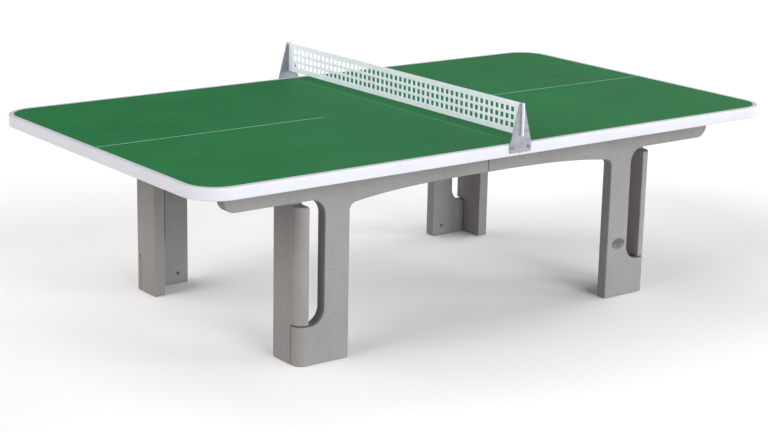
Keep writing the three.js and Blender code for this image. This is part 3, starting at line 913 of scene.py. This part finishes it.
def anchor_insert_mesh():
    """Threaded sleeve with a chamfered mouth, sunk in a leg's inner face."""
    length = ANCHOR_HIGH.y - ANCHOR_LOW.y
    radius = (ANCHOR_HIGH.x - ANCHOR_LOW.x) / 2
    profile = [
        (radius, length),
        (radius, ANCHOR_CHAMFER),
        (radius - ANCHOR_CHAMFER, 0),
        (ANCHOR_BORE + ANCHOR_MOUTH, 0),
    ]
    for ridge in range(int(length / THREAD_PITCH) - 1):
        profile.append((ANCHOR_BORE + THREAD_DEPTH, THREAD_PITCH * (ridge + 0.5)))
        profile.append((ANCHOR_BORE, THREAD_PITCH * (ridge + 1)))
    profile += [(ANCHOR_BORE, length), (radius, length)]
    centre = (ANCHOR_LOW + ANCHOR_HIGH) / 2
    mouth = (centre.x, ANCHOR_LOW.y, centre.z)
    return pointed(lathe(profile, ANCHOR_STEPS), mouth, (0, 1, 0))


# ---------------------------------------------------------------- badge
def on_badge(mesh):
    """The mesh, drawn in the badge's own plane, in its place on the leg."""
    centre = (BADGE_LOW + BADGE_HIGH) / 2
    return pointed(mesh, (centre.x, BADGE_HIGH.y, centre.z), (0, -1, 0))


def badge_mesh():
    """Oval plate with a raised rim round a sunken field."""
    size = BADGE_HIGH - BADGE_LOW
    half_length = size.x / 2
    profile = [(half_length * radius, size.y * height) for radius, height in BADGE_SECTION]
    disc = lathe(profile, BADGE_STEPS)
    return on_badge(moved(disc, Matrix.Diagonal((1, size.z / size.x, 1, 1))))


def badge_bars_mesh():
    """Plain raised bars of different lengths on the badge's field."""
    size = BADGE_HIGH - BADGE_LOW
    half_height = size.z * BADGE_BAR_HEIGHT / 2
    bm = bmesh.new()
    for row, share in BADGE_BARS.items():
        middle = size.z * BADGE_BAR_PITCH * row
        corners = rectangle(
            size.x / 2 * share,
            middle - half_height,
            middle + half_height,
            half_height * BADGE_BAR_ROUND,
        )
        points = outline(corners, BADGE_BAR_STEPS)
        bm.from_mesh(prism(points, size.y * BADGE_BAR_FOOT, size.y * BADGE_BAR_TOP))
    return on_badge(to_mesh(bm))


# ---------------------------------------------------------------- studio
def add_camera():
    """Camera at the place of a viewer who stands off the front left corner."""
    sine, cosine = math.sin(CAMERA_YAW), math.cos(CAMERA_YAW)
    forward = math.cos(CAMERA_PITCH)
    ahead = Vector((sine * forward, cosine * forward, -math.sin(CAMERA_PITCH)))
    level = Vector((cosine, -sine, 0))
    above = level.cross(ahead)
    right = level * math.cos(CAMERA_ROLL) + above * math.sin(CAMERA_ROLL)
    up = above * math.cos(CAMERA_ROLL) - level * math.sin(CAMERA_ROLL)
    turn = Matrix((right, up, -ahead)).transposed().to_4x4()
    data = bpy.data.cameras.new("camera")
    data.sensor_width = CAMERA_SENSOR
    data.lens = CAMERA_LENS
    data.clip_end = CAMERA_REACH
    camera = bpy.data.objects.new("camera", data)
    camera.matrix_world = Matrix.Translation(CAMERA_PLACE) @ turn
    bpy.context.scene.collection.objects.link(camera)
    bpy.context.scene.camera = camera


def add_soft_light(name, azimuth, elevation, strength, colour):
    """Large distant lamp, seen from the table at an azimuth and elevation in degrees."""
    turn, rise = math.radians(azimuth), math.radians(elevation)
    level = math.cos(rise)
    towards = Vector((math.sin(turn) * level, math.cos(turn) * level, math.sin(rise)))
    data = bpy.data.lights.new(name, "SUN")
    data.angle = LIGHT_SPREAD
    data.energy = strength * math.pi
    data.color = colour
    light = bpy.data.objects.new(name, data)
    light.matrix_world = towards.to_track_quat("Z", "Y").to_matrix().to_4x4()
    bpy.context.scene.collection.objects.link(light)


def add_world():
    """Dim even surroundings."""
    world = bpy.data.worlds.new("studio")
    world.use_nodes = True
    world.node_tree.nodes["Background"].inputs["Color"].default_value = SURROUNDINGS
    bpy.context.scene.world = world


def add_floor():
    """Wide plain floor just under the feet."""
    low = (-FLOOR_HALF_SIZE, -FLOOR_HALF_SIZE, FLOOR_BOTTOM)
    high = (FLOOR_HALF_SIZE, FLOOR_HALF_SIZE, FLOOR_TOP)
    floor = bpy.data.objects.new("floor", block(low, high))
    bpy.context.scene.collection.objects.link(floor)
    paper = Shader(roughness=0.9, specular=0.1)
    paper.material.name = "floor_paper"
    paper.colour(FLOOR_COLOUR)
    floor.data.materials.append(paper.material)


# ---------------------------------------------------------------- assembly
add_camera()
add_world()
bpy.context.scene.view_settings.view_transform = "Standard"
for light_name, settings in SOFT_LIGHTS.items():
    add_soft_light(light_name, *settings)
add_floor()

add_copies("edge_rim", ENDS, edge_rim_mesh(), "white_edge")
add_copies("playing_surface", ENDS, playing_surface_mesh(), "green_coating")
add_copies("side_frame", QUADRANTS, side_frame_mesh(), "base_concrete", PANEL_EDGE_ROUND)
# the end frames wear the warmer copy of the concrete, whose tint is painted warm light
add_copies("end_frame", ENDS, end_frame_mesh(), "base_concrete", PANEL_EDGE_ROUND, "end_concrete_warm_light")
add_copies("corner_bracket", QUADRANTS, corner_bracket_mesh(), "galvanised_steel", PLATE_EDGE_ROUND)
add_copies("splice_plate", SIDES, splice_plate_mesh(), "galvanised_steel", PLATE_EDGE_ROUND)
add_copies("net_bracket", SIDES, net_bracket_mesh(), "galvanised_steel", PLATE_EDGE_ROUND)
add_copies("anchor_insert", QUADRANTS, anchor_insert_mesh(), "galvanised_steel")
add_bolts("corner_side_bolt", (0, 1, 0), **BOLT)
add_bolts("corner_end_bolt", (1, 0, 0), **BOLT)
add_bolts("corner_slab_bolt", (0, 0, 1), **BOLT)
add_bolts("splice_bolt", (0, 1, 0), **BOLT)
add_bolts("net_bracket_bolt", (0, -1, 0), **BRACKET_BOLT)
add_piece("net_plate_visual", net_mesh(), "net_steel", ["net_plate"], NET_EDGE_ROUND, "net", 1)
add_piece("badge_visual", badge_mesh(), "badge_metal", ["badge"])
add_piece("badge_bars_visual", badge_bars_mesh(), "badge_metal", ["badge"], finish="badge_ink")

for subpart in frame["record"]["subparts"]:
    node = frame["nodes"][subpart["node"]]
    node.data.materials.clear()
    node.data.materials.append(MATERIALS[subpart["material_slot"]])
